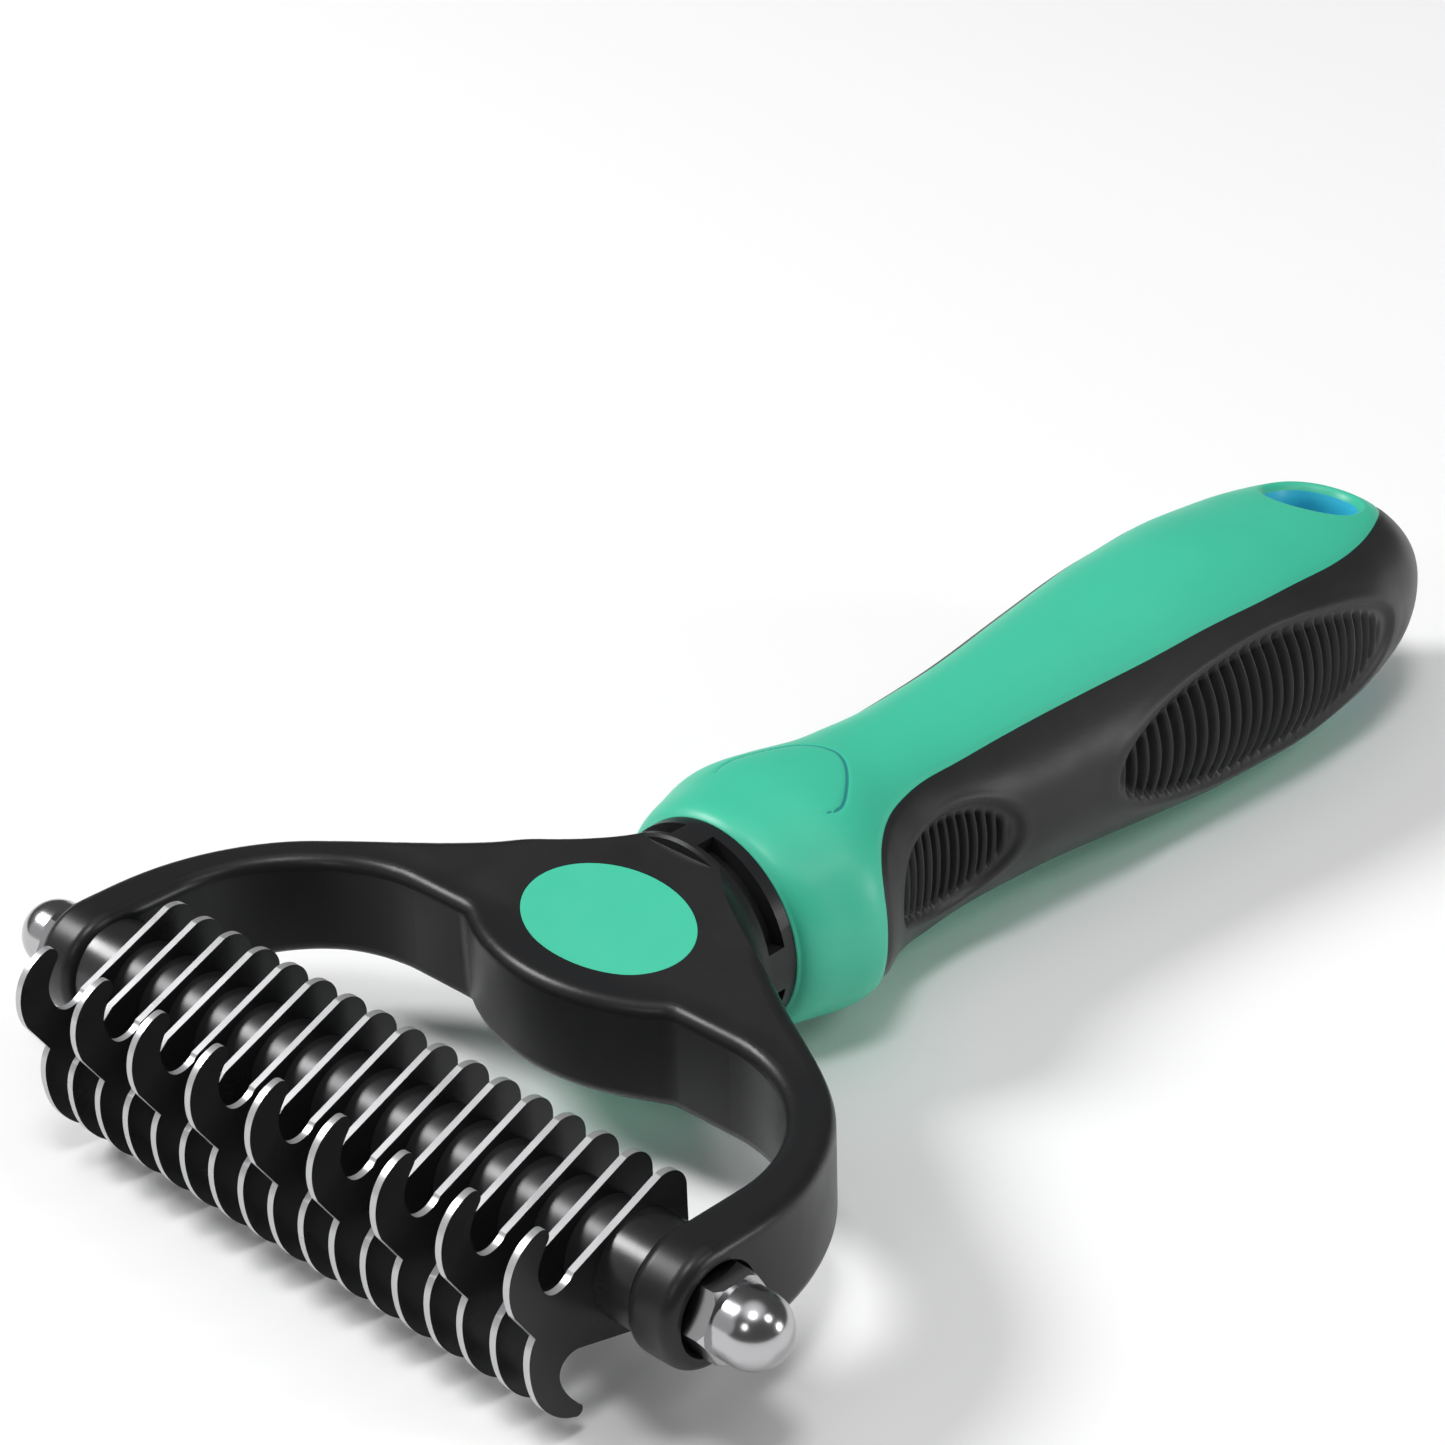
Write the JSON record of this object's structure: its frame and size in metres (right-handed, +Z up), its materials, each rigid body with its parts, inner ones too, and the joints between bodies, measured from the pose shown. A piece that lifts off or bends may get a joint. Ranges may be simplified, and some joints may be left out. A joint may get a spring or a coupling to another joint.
{
  "type": "pet deshedding rake",
  "caption": "Double-sided deshedding rake: hooked sheet-steel blades on a keyed axle between the arms of a yoke, with a straight two-material handle and a hang hole.",
  "frame": {"origin": "bottom centre of the tool's box, lying flat with the fine teeth down", "axes": "+X along the blade axle, +Y from the blades to the heel of the handle, +Z up through the coarse teeth side"},
  "size_m": [0.1066, 0.1802, 0.0294],
  "materials": {
    "spacer_black": "satin moulded black nylon",
    "bush_black": "satin moulded black nylon",
    "blade_steel": "polished stainless sheet, bright ground edges",
    "axle_steel": "plain drawn steel bar",
    "nut_chrome": "bright plated",
    "badge_green": "smooth mint green plastic",
    "yoke_black": "semi-gloss moulded black plastic",
    "core_green": "satin mint green plastic",
    "grip_rubber": "soft-touch black overmould"
  },
  "bodies": {
    "root": {"acorn_nut_left": "nut_chrome", "acorn_nut_right": "nut_chrome", "axle_rod": "axle_steel", "badge_bottom": "badge_green", "badge_top": "badge_green", "blade_spacer_01": "spacer_black", "blade_spacer_02": "spacer_black", "blade_spacer_03": "spacer_black", "blade_spacer_04": "spacer_black", "blade_spacer_05": "spacer_black", "blade_spacer_06": "spacer_black", "blade_spacer_07": "spacer_black", "blade_spacer_08": "spacer_black", "blade_spacer_09": "spacer_black", "blade_spacer_10": "spacer_black", "blade_spacer_11": "spacer_black", "blade_spacer_12": "spacer_black", "blade_spacer_13": "spacer_black", "blade_spacer_14": "spacer_black", "blade_spacer_15": "spacer_black", "blade_spacer_16": "spacer_black", "double_blade_01": "blade_steel", "double_blade_02": "blade_steel", "double_blade_03": "blade_steel", "double_blade_04": "blade_steel", "double_blade_05": "blade_steel", "double_blade_06": "blade_steel", "double_blade_07": "blade_steel", "double_blade_08": "blade_steel", "double_blade_09": "blade_steel", "end_bush_left": "bush_black", "end_bush_right": "bush_black", "fork_yoke": "yoke_black", "grip_overmould": "grip_rubber", "handle_core": "core_green", "single_blade_01": "blade_steel", "single_blade_02": "blade_steel", "single_blade_03": "blade_steel", "single_blade_04": "blade_steel", "single_blade_05": "blade_steel", "single_blade_06": "blade_steel", "single_blade_07": "blade_steel", "single_blade_08": "blade_steel"}
  },
  "joints": []
}
